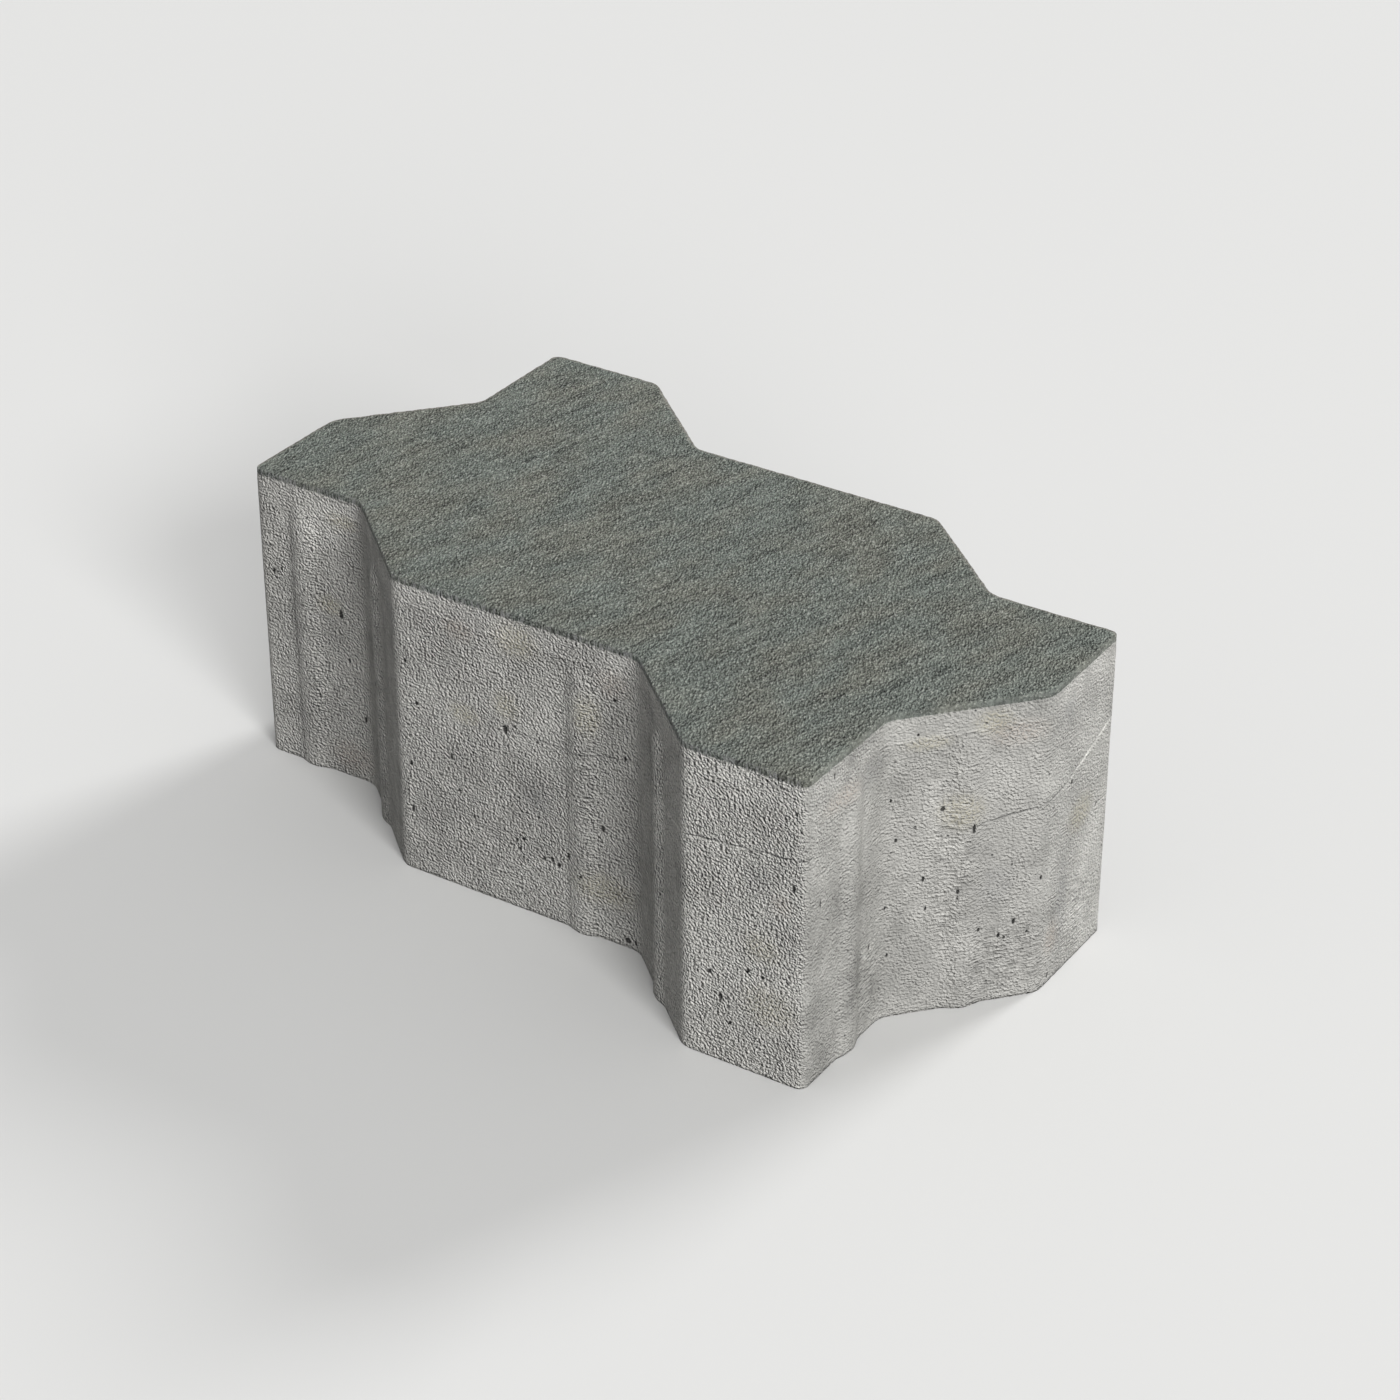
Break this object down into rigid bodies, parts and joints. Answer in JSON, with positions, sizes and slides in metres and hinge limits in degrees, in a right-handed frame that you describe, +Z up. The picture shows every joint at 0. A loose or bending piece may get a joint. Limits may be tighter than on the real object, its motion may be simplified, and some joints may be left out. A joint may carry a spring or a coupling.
{
  "type": "concrete paving stone",
  "caption": "Interlocking cast concrete paving stone with a zigzag outline, a flat wearing face and spacer ribs down its sides.",
  "frame": {"origin": "centre of the bed face, which the stone lies on", "axes": "+X along the stone's length, +Y across its width, +Z up from the bed face to the wearing face"},
  "size_m": [0.2128, 0.1128, 0.08],
  "materials": {
    "concrete": "rough cast concrete, pale grey sides, green-grey wearing face"
  },
  "bodies": {
    "root": {"paving_stone": "concrete"}
  },
  "joints": []
}
